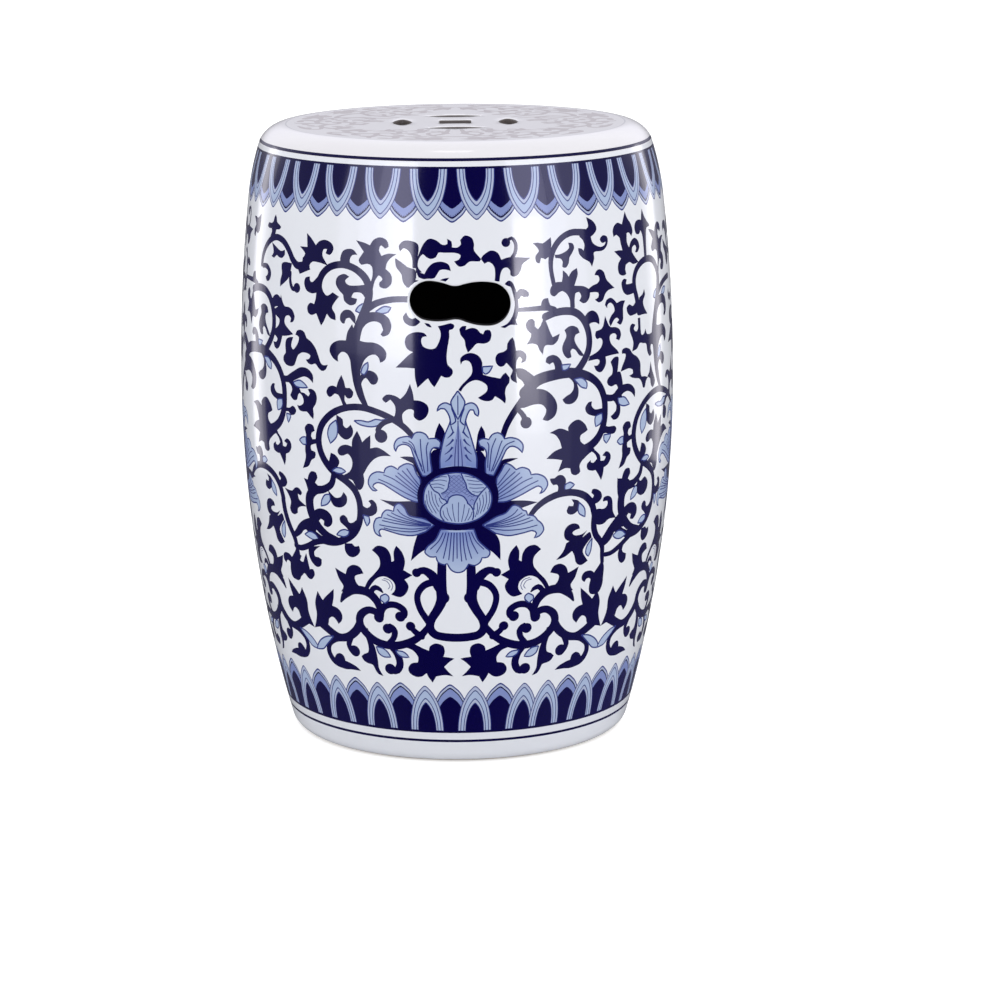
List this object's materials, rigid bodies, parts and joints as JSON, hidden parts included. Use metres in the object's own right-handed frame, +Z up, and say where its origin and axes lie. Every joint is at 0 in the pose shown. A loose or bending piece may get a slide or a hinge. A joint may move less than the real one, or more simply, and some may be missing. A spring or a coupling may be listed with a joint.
{
  "type": "ceramic garden stool",
  "caption": "Barrel-shaped glazed ceramic garden stool with a flat pierced seat, cut-through hand holes and painted blue-and-white scrolling flowers.",
  "frame": {"origin": "centre of the ring that the foot rests on, at ground level", "axes": "+Z up along the drum's axis, -Y to the front, where the first hand hole is"},
  "size_m": [0.289, 0.289, 0.4064],
  "materials": {
    "painted_glaze": "glossy clear glaze over cobalt-blue painting",
    "seat_glaze": "glossy clear glaze over fine grey-blue painting",
    "foot_clay": "white glaze above, bare fired clay where it rests",
    "inner_clay": "dull, unglazed and in shadow"
  },
  "bodies": {
    "root": {"foot_ring": "foot_clay", "lower_barrel": "painted_glaze", "upper_barrel": "painted_glaze", "seat_slab": "seat_glaze", "foot_joint_coil": "inner_clay", "waist_joint_coil": "inner_clay", "seat_joint_coil": "inner_clay"}
  },
  "joints": []
}
